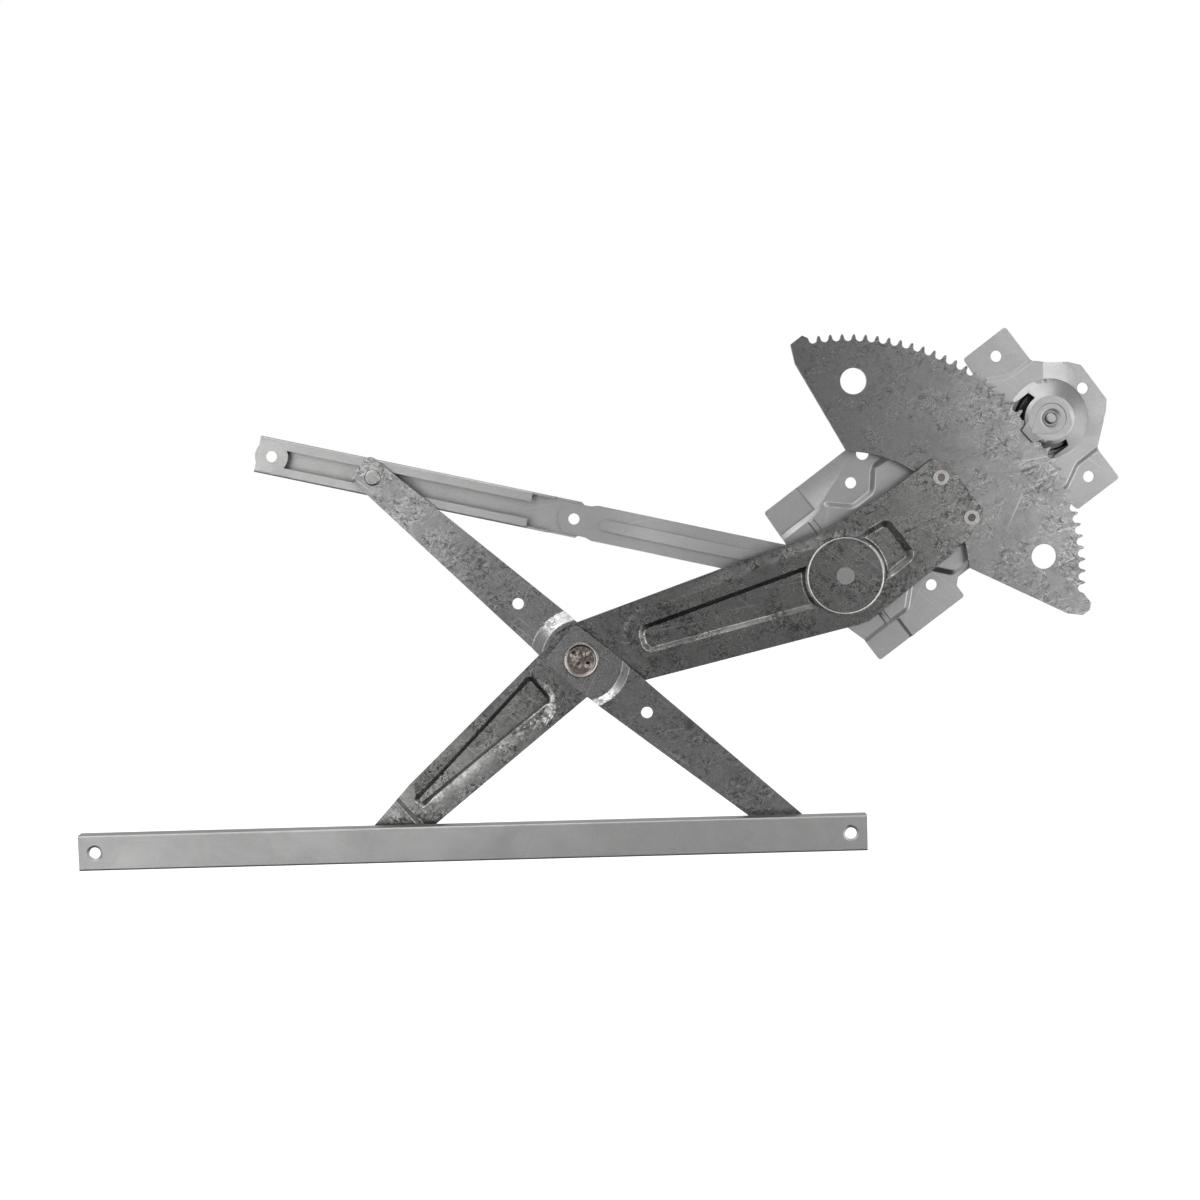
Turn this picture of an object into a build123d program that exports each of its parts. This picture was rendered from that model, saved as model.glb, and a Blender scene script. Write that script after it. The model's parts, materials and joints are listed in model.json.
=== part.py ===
from build123d import *
import os
from math import atan2, cos, degrees, radians, sin, tan

# Hand-cranked window regulator for a vehicle door: a scissor linkage of pressed steel.
# A crank turns a ten-tooth pinion, the pinion drives a toothed sector on the lift arm, and the
# lift arm with its two-piece equalizer arm carries the lift channel that holds the window glass.
#
# Every piece is drawn lying on a bench: x along the lift channel, y up the door, z towards the
# door's outer side. The bench origin is the crank spindle's axis at its shoulder. The last step
# stands each piece up, so that the finished part has Z up and its outer side towards -Y.

# Gear train
gear_module = 2.1
sector_full_teeth = 128        # teeth on the whole circle that the sector is cut from
teeth_raising = 21             # sector teeth above the one that meets the pinion at rest
teeth_lowering = 14            # sector teeth below it
pinion_teeth = 10
gap_radius = 2.3               # round bottom of the space between two sector teeth
gap_flare = 24                 # degrees that each side of that space opens
tooth_rise = 1.5               # sector tooth tip above the pitch circle
pinion_head_radius = 2.15      # round head of a pinion tooth
pinion_neck = 3.2              # width of a pinion tooth below its head
pinion_root_radius = 8.6

# Linkage: four equal links, and the directions of its arms at rest
link = 157.0
arm_fall = 16.0                # lift arm, pivot to hub, below the level
arm_bend = 24.0                # further fall of the lift arm beyond the hub
guide_rise = 13.3              # fixed guide above the level
plate_turn = 36.2              # base plate's long axis, pivot to pinion

# Sheet gauges
plate_gauge = 1.6
sector_gauge = 2.8
arm_gauge = 2.3
half_gauge = 2.0
rail_gauge = 1.2
drum_gauge = 1.2

# Layers, from the trim side outwards
panel_z = 10.0                 # door panel's face that the base plate is bolted to
centre_rise = 3.0              # base plate's raised centre above its bolting pads
sector_clear = 2.6             # raised centre to sector
pad_clear = 0.3                # lift arm to each equalizer half at the hub
rear_joggle = 4.0              # rear half steps back from the lift arm
front_joggle = 2.5             # front half steps out from the lift arm
tip_joggle = 3.0               # lift arm's tip steps out to its shoe
guide_clear = 0.4
lift_clear = 0.5
tongue_clear = 1.0             # sector to the tongue that keeps it in mesh

# Rails that the shoes run in
rail_depth = 9.0
lift_length = 445.5
lift_height = 20.4
lift_slot = 10.4
lift_overhang = 38.4           # channel stud to the lift channel's right end
lift_wall_cut = 22.0           # lower wall stops this far short of each end
guide_height = 21.0
guide_slot = 10.0
guide_far = 341.0              # fixed guide's far end from the pivot
guide_near = 152.0
guide_corner = 2.5             # cut off the near corners
guide_lip_near = 183.0
guide_wall_near = 170.0
guide_pad_at = 333.0           # far bolt hole
guide_pad_radius = 9.4
guide_pad_drop = 1.0           # far pad's face behind the lips
guide_low_wall = 2.2
guide_bolt_inset = 5.2         # near end to the bolt hole shared with the extension arm

# Extension arm of the fixed guide
guide_arm_half = 10.3
guide_arm_end = 32.0
arm_ramp_from = 88.0
arm_ramp_to = 113.5
rib_half = 1.8
rib_rise = 1.8
rib_near = 50.0
rib_far = 142.0

# Shoes
shoe_length = 16.0
shoe_side_clear = 0.3
shoe_face_clear = 0.3
shoe_bore_clear = 0.05
stud_radius = 4.0
stud_head_radius = 4.6
stud_head = 1.5

# Holes
bolt_radius = 3.2
tool_hole_radius = 3.3
lift_bolt_inset = 9.2
lift_bolt_sink = 1.6           # countersink: wider than the hole by this
lift_bolt_sink_depth = 0.7

# Base plate, in its own frame: u from the pivot towards the pinion, v across
plate_back = -13.0
plate_front = 157.5
plate_half = 52.0
plate_top_half = 55.8
waist_half = 41.0
waist_from = 59.0
waist_to = 128.0
nose_reach = 178.4
lobe_radius = 30.0
centre_half = 39.0
centre_pinch = 28.5
press_angle = 48               # slope of the pressed steps
corner_drop = 1.2              # corner pads below the bolting pads
corner_from = 10.5
nose_ramp = 14.4               # length of the two slopes down to the nose pad
nose_ridge_x = -2.5            # where they start, from the spindle
nose_ridge_y = -10.4

plate_holes = [(35.2, 39.2), (36.4, -35.3), (143.5, 45.7), (171.4, 1.3), (144.2, -40.8)]
spare_hole = (50.5, 48.4)
spare_hole_radius = 3.6

# Pinion housing pressed up from the base plate
dome_top_radius = 12.0
dome_foot_radius = 21.9        # at the raised centre
dome_pad_radius = 22.0         # at the nose pad
dome_skirt = 70                # slope of the wall between those two
slot_half = 18.8
slot_past = 0.7                # beyond the spindle's centre line
slot_depth = 40.0
slot_foot = 0.4                # above the raised centre
nose_radius = 3.3              # pinion's front journal
nose_clear = 0.08
nose_dish = 0.9                # dish pressed round the front journal
nose_dish_radius = 5.5
crown_rim = 3.4                # width of the raised rim round the dome's flat top
crown_sink = 0.4
tongue_bend = 6.0              # length of the tongue's tip that bends towards the sector
tongue_dip = 0.7
tongue_reach = 17.0            # spindle to the tip of the tongue
tongue_skew = 0.7              # the tip's lower corner stops short by this
tongue_tip_half = 4.7
tongue_low_in = 10.3           # shoulders, from the spindle
tongue_low_half = 6.6
tongue_top_in = 7.1
tongue_top_half = 8.0

# Brake drum and crank spindle
drum_radius = 21.6
drum_flange_radius = 28.0
drum_floor_z = 1.5
bush_radius = 8.5
bush_collar = 11.0
spindle_radius = 6.0
spindle_step = 0.5             # shaft inside the bush is thicker by this
journal_length = 10.0
spline_length = 12.0
spline_radius = 5.4
spline_teeth = 24
spline_depth = 0.45
crank_disc_radius = 14.0
pinion_disc_radius = 17.0
claw_width = 9.0
claw_inner = 10.5
spring_wire = 2.0
spring_pitch = 2.2
spring_clear = 0.1
spring_gap = 60                # degrees between the two bent ends
spring_turns = 3

# Pivot and hub
pin_radius = 8.0
pin_clear = 0.05
pin_tip_radius = 5.0
pin_disc_radius = 13.0
bush_wall = 1.6
washer_radius = 12.0
washer_gauge = 1.0
hub_barrel_radius = 8.0
hub_bush_radius = 10.0
hub_head_radius = 10.2
hub_head = 1.5
hub_tenon_radius = 5.5
disc_drop = 0.8

# Lift arm
arm_boss = 28.6                # half its width at the pivot
hub_pad_radius = 20.6
tail_hub_half = 18.6
tail_end_half = 7.5
groove_radius = 24.0
arm_recess = 4.0
tip_recess = 3.0
arm_dish = 1.1                 # borders slope gently down to the recesses
arm_dish_slope = 9
tip_step_at = 26.0             # step to the shoe, back from the stud
rivet_radius = 3.0
rivet_head_radius = 4.3
rivet_back = 1.3
rivet_front = 0.7
rivet_reach = 76.0
rivet_spread = 14.3
rivet_shift = -2.9

# Equalizer arm
half_width_hub = 14.5
half_width_end = 8.9
half_back = 15.6
half_tip = 9.6
half_pad_radius = 28.3         # foot of the joggle round the hub
half_slope = 32
half_bend = 1.0
tool_hole_at = 47.7

deep = 20.0                    # far enough to cut through any sheet

# Worked out from the sizes above
pitch_angle = 360 / sector_full_teeth
sector_pitch_radius = gear_module * sector_full_teeth / 2
pinion_pitch_radius = gear_module * pinion_teeth / 2
centre_distance = sector_pitch_radius + pinion_pitch_radius
centre_z = panel_z + centre_rise
centre_top = centre_z + plate_gauge
sector_z = centre_top + sector_clear
arm_z = sector_z + sector_gauge
arm_top = arm_z + arm_gauge
disc_z = arm_z - disc_drop
pin_shoulder_z = disc_z - 1.8
pin_back_z = panel_z + 0.6
rear_pad_z = arm_z - pad_clear - half_gauge
rear_z = rear_pad_z - rear_joggle
front_pad_z = arm_top + pad_clear
front_z = front_pad_z + front_joggle
guide_lip_z = rear_z - guide_clear
guide_z = guide_lip_z - rail_depth
lift_lip_z = front_z + half_gauge + lift_clear
lift_web_z = lift_lip_z + rail_depth
lift_shoe_z = lift_lip_z + rail_gauge + shoe_face_clear
guide_shoe_top = guide_lip_z - rail_gauge - shoe_face_clear
shoe_thickness = rail_depth - 2 * rail_gauge - 2 * shoe_face_clear
brake_low = drum_floor_z + drum_gauge + 1.2
brake_high = centre_z - 0.8
guide_bolt_at = guide_near + guide_bolt_inset
tongue_z = arm_z + tongue_clear
dome_top_z = tongue_z + plate_gauge
guide_direction = 180 - guide_rise
tail_angle = 180 + arm_fall + arm_bend
front_half_angle = -(arm_fall + arm_bend)
rear_half_angle = 180 + arm_fall - 2 * (arm_fall + guide_rise)


def polar(length, angle, origin=(0, 0)):
    return (
        origin[0] + length * cos(radians(angle)),
        origin[1] + length * sin(radians(angle)),
    )


spindle = (0.0, 0.0)
pivot = polar(centre_distance, plate_turn + 180)
hub = polar(link, 180 + arm_fall, pivot)
lift_end = polar(link, tail_angle, hub)
channel_end = polar(link, front_half_angle, hub)
guide_end = polar(link, rear_half_angle, hub)


def frame_at(origin, angle):
    """Flat working frame: its x runs along the angle from the origin."""
    return Location((origin[0], origin[1], 0), (0, 0, angle))


plate_frame = frame_at(pivot, plate_turn)
leg_frame = frame_at(pivot, 180 + arm_fall)
tail_frame = frame_at(hub, tail_angle)
guide_frame = frame_at(pivot, guide_direction)


def disc(radius, at=(0, 0)):
    return Pos(at[0], at[1]) * Circle(radius)


def hull(*rounds, grow=0):
    """Outline drawn tight round discs, each given as x, y, radius."""
    edges = []
    for x, y, radius in rounds:
        edges += disc(radius + grow, (x, y)).edges()
    return make_hull(edges)


def outline(points, rounding=0):
    face = Polygon(*points, align=None)
    if rounding:
        face = fillet(face.vertices(), rounding)
    return face


def band(x_from, x_to, y_from, y_to):
    centre = Pos((x_from + x_to) / 2, (y_from + y_to) / 2)
    return centre * Rectangle(x_to - x_from, y_to - y_from)


def prism(sketch, low, high):
    return extrude(Pos(0, 0, low) * sketch, amount=high - low, dir=(0, 0, 1))


def rod(radius, low, high, at=(0, 0)):
    return prism(disc(radius, at), low, high)


def step_width(rise, slope):
    return rise / tan(radians(slope))


def side_spread(gauge, slope):
    """How far a pressed wall's outer face stands off its inner face, measured flat."""
    return gauge * tan(radians(slope) / 2)


def raised(sketch, low, rise, slope):
    return extrude(Pos(0, 0, low) * sketch, amount=rise, dir=(0, 0, 1), taper=90 - slope)


def sunk(sketch, high, depth, slope):
    return extrude(Pos(0, 0, high) * sketch, amount=depth, dir=(0, 0, -1), taper=90 - slope)


def side_prism(points, half_width):
    """Prism whose side view, x along and z up, is given, spread to both sides."""
    face = Plane.XZ * Polygon(*points, align=None)
    return extrude(face, amount=half_width, both=True)


def cone(low_radius, high_radius, low, height, at=(0, 0)):
    middle = Pos(at[0], at[1], low + height / 2)
    return middle * Cone(low_radius, high_radius, height)


def stand(piece):
    return Rot(90, 0, 0) * piece


# Pressed sheet: the blank's outline, cut out of the space between the two faces of a die
def pressed(blank, low, gauge, forms):
    """Sheet lying at `low`. Each form takes the die and the side it is cut for, 0 or the gauge."""
    faces = []
    for side in (0, gauge):
        die = prism(blank, low - deep, low + side)
        for form in forms:
            die = form(die, side)
        faces.append(die)
    sheet = faces[1] - faces[0]
    return sheet & prism(blank, low - deep, low + deep)


# Toothed sector
def tooth_gap():
    """Space between two sector teeth, centred on the pitch circle, opening along x."""
    rise = 2 * tooth_rise + 2
    mouth = gap_radius + rise * tan(radians(gap_flare))
    sides = outline([(0, -gap_radius), (0, gap_radius), (rise, mouth), (rise, -mouth)])
    return Pos(sector_pitch_radius, 0) * (Circle(gap_radius) + sides)


def sector_outline():
    tip = sector_pitch_radius + tooth_rise
    inner_radius = 70.3
    top_gap = plate_turn + (teeth_raising + 0.5) * pitch_angle
    low_gap = plate_turn - (teeth_lowering + 0.5) * pitch_angle
    top_lug = [(tip, 1.3), (tip + 1.6, 2.4), (tip - 1.9, 5.5), (tip - 13, 5.5)]
    low_lug = [(tip - 7.8, -6.6), (tip + 0.8, -6.4), (tip + 4.2, -4.9), (tip + 4.4, -3.2), (tip, -1.4)]
    inner = [polar(inner_radius, angle) for angle in (2.2, 45.2, 88.3)]
    outer = [polar(tip, angle) for angle in (low_gap - 1.4, plate_turn, top_gap + 1.3)]
    low_points = [inner[0]] + [polar(r, low_gap + a) for r, a in low_lug]
    top_points = [polar(r, top_gap + a) for r, a in top_lug] + [inner[2]]
    edges = [ThreePointArc(*inner), ThreePointArc(*outer)]
    edges += Polyline(*low_points).edges() + Polyline(*top_points).edges()
    return make_face(edges)


def make_sector():
    face = sector_outline()
    for n in range(-teeth_lowering, teeth_raising + 2):
        face -= Rot(0, 0, plate_turn + (n - 0.5) * pitch_angle) * tooth_gap()
    face -= disc(7.4, polar(109.8, 86.5))
    face -= disc(7.1, polar(113.0, 4.0))
    for x, y in rivet_places():
        face -= Rot(0, 0, plate_turn) * disc(rivet_radius, (x, y))
    return Pos(pivot[0], pivot[1], 0) * prism(face, sector_z, arm_z)


def rivet_places():
    return [(rivet_reach, rivet_shift + s * rivet_spread) for s in (-1, 1)]


def make_sector_rivets():
    rivets = []
    for place in rivet_places():
        shank = rod(rivet_radius, sector_z - rivet_back, arm_top + rivet_front, place)
        back = rod(rivet_head_radius, sector_z - rivet_back, sector_z, place)
        front = rod(rivet_head_radius, arm_top, arm_top + rivet_front, place)
        cup = rod(rivet_radius - 0.8, arm_top + 0.2, arm_top + rivet_front + 1, place)
        rivets.append(shank + back + front - cup)
    return plate_frame * Compound(rivets)


# Lift arm
def arm_blank():
    end_half = 22.8
    end_reach = 84.0
    end = outline(
        [
            (-5, -arm_boss), (56, -27.0), (79.4, -22.7), (end_reach, -17.5),
            (end_reach, 14.0), (78.4, end_half), (52, end_half), (20, 26.0), (-5, arm_boss),
        ]
    )
    leg = hull((0, 0, arm_boss), (link, 0, hub_pad_radius))
    tail = hull(
        (0, 0, tail_hub_half), (link - 37, -2.2, tail_end_half + 1.7), (link, 1.0, tail_end_half),
        (link - 7, 6.5, tail_end_half + 0.9),
    )
    return (
        plate_frame * end
        + leg_frame * leg
        + tail_frame * tail
    )


def leg_recess(grow):
    """Recess of the lift arm from round its pivot down to near the hub."""
    run = hull((0, 0, 15.0), (link - 42, -1.5, 8.5), (link - 42, 2.0, 8.5), grow=grow)
    corner = hull((0, 0, 18.0), (33.0, 6.5, 7.0), (33.0, -10.0, 7.0), grow=grow)
    middle = disc(groove_radius + grow, pivot)
    return leg_frame * run + middle + plate_frame * corner


def dish(die, side, frame, *rounds):
    """Sinks an area of the lift arm gently, its borders sloping inwards."""
    spread = side_spread(side, arm_dish_slope)
    shape = frame * hull(*rounds, grow=-spread)
    return die - sunk(shape, arm_z + side, arm_dish, arm_dish_slope)


def press_borders(die, side):
    die = dish(die, side, leg_frame, (0, 0, arm_boss - 0.4), (link - 45, 0, 22.0))
    return dish(die, side, tail_frame, (39, -0.4, 15.9), (link - 44, -2.0, 9.9))


def press_leg(die, side):
    shape = leg_recess(-side_spread(side, press_angle))
    die -= sunk(shape, arm_z + side, arm_recess, press_angle)
    lift = arm_recess - disc_drop
    low = arm_z + side - arm_recess
    foot = groove_radius - 0.6 + side_spread(side, press_angle)
    return die + cone(foot, foot - step_width(lift, 60), low, lift, pivot)


def press_tail(die, side):
    spread = side_spread(side, press_angle)
    recess = hull((31, -9, 5), (31, 3.2, 5), (link - 35, -0.2, 5), grow=-spread)
    die -= sunk(tail_frame * recess, arm_z + side, tip_recess, press_angle)
    start = link - tip_step_at - spread
    run = step_width(tip_joggle, press_angle)
    low = arm_z + side
    points = [
        (start, low - 1), (start, low), (start + run, low + tip_joggle),
        (link + 20, low + tip_joggle), (link + 20, low - 1),
    ]
    return die + tail_frame * side_prism(points, hub_pad_radius)


def make_lift_arm():
    arm = pressed(arm_blank(), arm_z, arm_gauge, [press_borders, press_leg, press_tail])
    for place in rivet_places():
        arm -= plate_frame * rod(rivet_radius, arm_z - 1, arm_top + 1, place)
    arm -= rod(hub_bush_radius, arm_z - 1, arm_top + 1, hub)
    arm -= rod(pin_tip_radius, arm_z - deep, arm_top + 1, pivot)
    arm -= rod(stud_radius, arm_z, arm_top + deep, lift_end)
    return arm


# Pivot
def make_pivot_pin():
    pin = rod(pin_tip_radius, disc_z, disc_z + arm_gauge + 0.3)
    pin += rod(pin_disc_radius, pin_shoulder_z, disc_z)
    pin += rod(pin_radius, centre_z - 1.3, pin_shoulder_z)
    pin += rod(pin_radius - 2, pin_back_z, centre_z - 1.3)
    return Pos(*pivot) * pin


def make_pivot_bush():
    bush = rod(pin_disc_radius, centre_top, pin_shoulder_z - pin_clear)
    bush += rod(pin_radius + bush_wall, centre_z - 0.9, centre_top)
    return Pos(*pivot) * (bush - rod(pin_radius + pin_clear, 0, arm_z))


def make_pivot_washer():
    high = centre_z - 1.3
    washer = rod(washer_radius, high - washer_gauge, high)
    return Pos(*pivot) * (washer - rod(pin_radius - 2, 0, arm_z))


# Equalizer arm: two stampings, one behind the lift arm and one in front of it
def half_blank():
    return outline(
        [
            (-half_back, -half_width_hub + 0.4), (12, -half_width_hub),
            (link + half_tip, -half_width_end), (link + half_tip, half_width_end),
            (12, half_width_hub), (-half_back, half_width_hub - 0.4),
        ],
        3.2,
    )


def make_half(low, joggle):
    """Half of the equalizer lying along x, its hub pad offset by the joggle."""
    def press_pad(die, side):
        spread = side_spread(side, half_slope)
        run = step_width(abs(joggle), half_slope)
        if joggle > 0:
            foot = half_pad_radius + spread
            return die + cone(foot, foot - run, low + side, joggle)
        foot = half_pad_radius - spread
        return die - cone(foot - run, foot, low + side + joggle, -joggle)

    half = pressed(half_blank(), low, half_gauge, [press_pad])
    arcs = half.edges().filter_by(GeomType.CIRCLE).filter_by(lambda arc: arc.radius > hub_pad_radius)
    half = fillet(arcs, half_bend)
    half -= rod(hub_tenon_radius, low - deep, low + deep)
    half -= rod(stud_radius, low - 1, low + half_gauge + 1, (link, 0))
    return half - rod(tool_hole_radius, low - 1, low + half_gauge + 1, (tool_hole_at, 0))


def make_equalizer_rear():
    return frame_at(hub, rear_half_angle) * make_half(rear_z, rear_joggle)


def make_equalizer_front():
    return frame_at(hub, front_half_angle) * make_half(front_z, -front_joggle)


# Hub rivet that ties the two halves together through the lift arm
def make_hub_rivet():
    rivet = rod(hub_barrel_radius, rear_pad_z + half_gauge, front_pad_z)
    rivet += rod(hub_tenon_radius, rear_pad_z - hub_head, front_pad_z + half_gauge + hub_head)
    front = front_pad_z + half_gauge
    head = rod(hub_head_radius, front, front + hub_head)
    rivet += chamfer(head.edges().group_by(Axis.Z)[-1], 0.5)
    rivet += rod(hub_head_radius - 1.2, rear_pad_z - hub_head, rear_pad_z)
    for n in range(4):
        dent = polar(5.1, 45 + 90 * n + plate_turn)
        rivet -= rod(1.3, front + hub_head - 0.8, front + hub_head + 1, dent)
    return Pos(*hub) * rivet


def make_hub_bush():
    ring = rod(hub_bush_radius, arm_z - pad_clear + 0.05, arm_top + pad_clear - 0.05)
    return Pos(*hub) * (ring - rod(hub_barrel_radius + pin_clear, 0, arm_top + deep))


# Studs and shoes
def make_stud(sheet_low, sheet_high, far):
    """Stud riveted through a sheet, its head on the side away from the shoe."""
    if far > sheet_high:
        shank = rod(stud_radius, sheet_low, far)
        head = rod(stud_head_radius, sheet_low - stud_head, sheet_low)
        return shank + chamfer(head.edges().group_by(Axis.Z)[0], 0.7)
    shank = rod(stud_radius, far, sheet_high)
    head = rod(stud_head_radius, sheet_high, sheet_high + stud_head)
    return shank + fillet(head.edges().group_by(Axis.Z)[-1], 1.2)


def make_shoe(low, height):
    width = height - 2 * rail_gauge - 2 * shoe_side_clear
    block = outline(
        [
            (-shoe_length / 2, -width / 2), (shoe_length / 2, -width / 2),
            (shoe_length / 2, width / 2), (-shoe_length / 2, width / 2),
        ],
        2.0,
    )
    body = prism(block, low, low + shoe_thickness)
    for side in (-1, 1):
        relief = band(-shoe_length / 4, shoe_length / 4, 0.38 * width, 0.42 * width)
        body -= prism(Pos(0, (side - 1) * 0.4 * width) * relief, low - 1, low + 1.2)
    return body - rod(stud_radius + shoe_bore_clear, low - 1, low + shoe_thickness - 0.6)


def make_guide_shoe():
    shoe = make_shoe(-guide_shoe_top, guide_height)
    return frame_at(guide_end, guide_direction) * Rot(180, 0, 0) * shoe


def make_lift_shoe(at):
    return Pos(*at) * make_shoe(lift_shoe_z, lift_height)


# Lift channel
def rail_section(height, slot, flip):
    """Outline across a lipped rail: floor at 0, lips at the rail's depth."""
    outer = band(-height / 2, height / 2, 0, rail_depth)
    inner_half = height / 2 - rail_gauge
    inner = band(-inner_half, inner_half, rail_gauge, rail_depth - rail_gauge)
    mouth = band(-slot / 2, slot / 2, rail_gauge, rail_depth + 1)
    corners = outer.vertices()
    face = fillet(corners, rail_gauge) - inner - mouth
    return mirror(face, Plane.XZ) if flip else face


def make_lift_channel():
    right = channel_end[0] + lift_overhang
    left = right - lift_length
    section = Pos(0, lift_web_z) * rail_section(lift_height, lift_slot, True)
    rail = extrude(Plane.YZ * section, amount=lift_length)
    rail = Pos(left, lift_end[1], 0) * rail
    low_edge = lift_end[1] - lift_height / 2
    for end in (left, right - lift_wall_cut):
        cut = band(end - 1, end + lift_wall_cut, low_edge - 1, lift_end[1] - lift_slot / 2 + 1)
        if end > left:
            cut = Pos(1, 0) * cut
        rail -= prism(cut, lift_lip_z - 1, lift_web_z - rail_gauge)
    for x in (left + lift_bolt_inset, right - lift_bolt_inset):
        place = (x, lift_end[1])
        rail -= rod(bolt_radius, lift_lip_z, lift_web_z + 1, place)
        low = lift_web_z - lift_bolt_sink_depth
        rim = bolt_radius + lift_bolt_sink
        rail -= cone(bolt_radius, rim, low, lift_bolt_sink_depth, place)
    return rail


# Fixed guide and the extension arm that ties it to the base plate
def make_guide_channel():
    section = Pos(0, guide_z) * rail_section(guide_height, guide_slot, False)
    rail = Pos(guide_near, 0, 0) * extrude(Plane.YZ * section, amount=guide_far - guide_near)
    lips = band(guide_near - 1, guide_lip_near, -guide_height, guide_height)
    rail -= prism(lips, guide_lip_z - rail_gauge - 0.6, guide_lip_z + 1)
    walls = band(guide_near - 1, guide_wall_near, -guide_height, guide_height)
    rail -= prism(walls, guide_z + guide_low_wall, guide_lip_z + 1)
    for sign in (-1, 1):
        edge = sign * guide_height / 2
        nick = outline(
            [(guide_near, edge), (guide_near + guide_corner, edge), (guide_near, edge - sign * guide_corner)]
        )
        rail -= prism(nick, guide_z - 1, guide_lip_z)
    inner_half = guide_height / 2 - rail_gauge
    pad = disc(guide_pad_radius, (guide_pad_at, 0))
    pad += band(guide_pad_at, guide_far, -inner_half, inner_half)
    pad_top = guide_lip_z - guide_pad_drop
    rail -= prism(pad, guide_z - 1, guide_lip_z + 1)
    boss = prism(pad, guide_z, pad_top)
    hollow = offset(pad, -rail_gauge)
    hollow += band(guide_pad_at, guide_far + 1, rail_gauge - inner_half, inner_half - rail_gauge)
    rail += boss - prism(hollow, guide_z - 1, pad_top - rail_gauge)
    for x in (guide_pad_at, guide_bolt_at):
        rail -= rod(bolt_radius, guide_z - 1, guide_lip_z + 1, (x, 0))
    return guide_frame * rail


def arm_course(lift):
    """Side view of the extension arm's lower face, moved up by the lift."""
    low = guide_z + rail_gauge + lift
    high = centre_z - plate_gauge + lift
    slope = degrees(atan2(high - low, arm_ramp_to - arm_ramp_from))
    shift = side_spread(lift, slope)
    ramp = [(arm_ramp_to + shift, low), (arm_ramp_from + shift, high)]
    return [(guide_bolt_at + 20, low)] + ramp + [(guide_arm_end - 20, high)]


def between_courses(low_lift, high_lift, plan):
    sides = arm_course(high_lift) + arm_course(low_lift)[::-1]
    return side_prism(sides, 40) & prism(plan, -deep, 2 * deep)


def make_guide_arm():
    """Extension arm: flat under the base plate, stepping back into the guide's floor."""
    tip_half = guide_height / 2 - rail_gauge - 0.2
    tip = hull((guide_bolt_at, 0, tip_half), (guide_bolt_at - 3, 0, tip_half))
    neck = outline(
        [
            (guide_arm_end, -guide_arm_half), (guide_near - 7, -guide_arm_half),
            (guide_near - 3, -tip_half), (guide_bolt_at, -tip_half),
            (guide_bolt_at, tip_half), (guide_near - 3, tip_half),
            (guide_near - 7, guide_arm_half), (guide_arm_end, guide_arm_half),
        ]
    )
    rib_outer = rib_half + plate_gauge
    crest = hull((rib_far - rib_outer, 0, rib_outer), (rib_near + rib_outer, 0, rib_outer))
    groove = hull((rib_far - rib_outer, 0, rib_half), (rib_near + rib_outer, 0, rib_half))
    arm = between_courses(0, plate_gauge, tip + neck)
    arm += between_courses(plate_gauge / 2, plate_gauge + rib_rise, crest)
    arm -= between_courses(-1, rib_rise, groove)
    arm -= rod(bolt_radius, guide_z, centre_top, (guide_bolt_at, 0))
    return guide_frame * arm


# Base plate
def plate_blank():
    nose = [
        (plate_front, 31.5), (164.8, 24.7), (173.5, 18.5), (nose_reach, 12.5),
        (nose_reach, -12.0), (173.5, -17.5), (163.5, -25.0), (plate_front, -30.0),
    ]
    right = nose + [(plate_front, -plate_half), (waist_to, -plate_half), (waist_to - 2, -waist_half)]
    low_tab = 47.5
    low = [
        (low_tab + 3.5, -waist_half), (low_tab, -waist_half - 3.5),
        (low_tab, -plate_half), (plate_back, -plate_half), (plate_back, -37), (-16.5, -25),
    ]
    top = [
        (-16.5, 25), (plate_back - 2, 37), (plate_back - 1, plate_top_half),
        (waist_from + 2, plate_top_half), (waist_from + 2, waist_half),
        (waist_to - 1, waist_half), (waist_to, plate_top_half), (plate_front, plate_top_half),
    ]
    blank = outline(right + low + top, 1.6)
    return blank + disc(lobe_radius)


def centre_outline():
    upper = [
        (17, centre_half), (28, centre_pinch), (41, centre_pinch), (50, centre_half),
        (131, centre_half), (143, 32.5), (170, 32.5),
    ]
    lower = [(x, -y + 1.0) for x, y in reversed(upper)]
    back = plate_back - 20
    return outline([(back, centre_half)] + upper + lower + [(back, -centre_half + 1)], 5.0)


def press_nose(die, side):
    """Nose pad: the raised centre falls away to its right and above it."""
    high = centre_z + side
    low = panel_z + side
    fall = [(0, high), (0, high + 1), (90, high + 1), (90, low), (nose_ramp, low)]
    wedge = side_prism(fall, 90)
    rightward = Pos(nose_ridge_x, 0, 0) * wedge
    upward = Pos(0, nose_ridge_y, 0) * Rot(0, 0, 90) * wedge
    corner = Rot(0, 0, -plate_turn) * (rightward & upward)
    return die - Pos(centre_distance, 0, 0) * corner


def press_centre(die, side):
    shape = offset(centre_outline(), side_spread(side, press_angle))
    return die + raised(shape, panel_z + side, centre_rise, press_angle)


def press_corners(die, side):
    for v_sign in (1, -1):
        edge = corner_from
        run = step_width(corner_drop, 35)
        points = [
            (edge, panel_z + side + 1), (edge, panel_z + side),
            (edge - run, panel_z + side - corner_drop), (-60, panel_z + side - corner_drop),
            (-60, panel_z + side + 1),
        ]
        band_centre = v_sign * (centre_half + 20)
        die -= Pos(0, band_centre, 0) * side_prism(points, 20)
    return die


def press_darts(die, side):
    """Two short beads that stiffen the raised centre beside the pivot."""
    for v_sign in (1, -1):
        bead = Pos(4.0, v_sign * 32) * Rectangle(3.4, 9)
        shape = offset(bead, side_spread(side, press_angle))
        die += raised(shape, centre_z + side - 0.5, 1.2, press_angle)
    return die


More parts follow.
